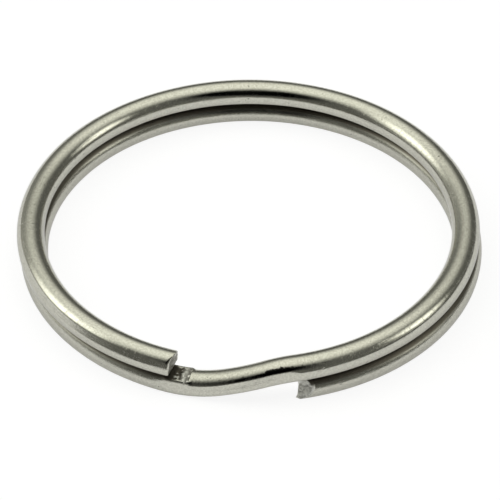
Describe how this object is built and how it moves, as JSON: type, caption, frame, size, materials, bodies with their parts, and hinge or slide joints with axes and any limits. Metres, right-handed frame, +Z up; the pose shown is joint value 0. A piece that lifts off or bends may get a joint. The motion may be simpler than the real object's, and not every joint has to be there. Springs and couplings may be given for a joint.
{
  "type": "split ring",
  "caption": "Split ring for keys: a steel wire pressed flat on one side and coiled nearly twice round, with a short crossover at the front where its sheared ends stop.",
  "frame": {"origin": "on the surface the ring lies on, in the middle of the ring's outline", "axes": "+Z up through the eye, -Y towards the crossover and the wire's two ends, +X towards the side where the upper turn stands highest"},
  "size_m": [0.0302, 0.03, 0.0028],
  "materials": {
    "nickel_plated_wire": "bright nickel plate over drawn steel wire, lightly worn"
  },
  "bodies": {
    "root": {"split_ring": "nickel_plated_wire"}
  },
  "joints": []
}
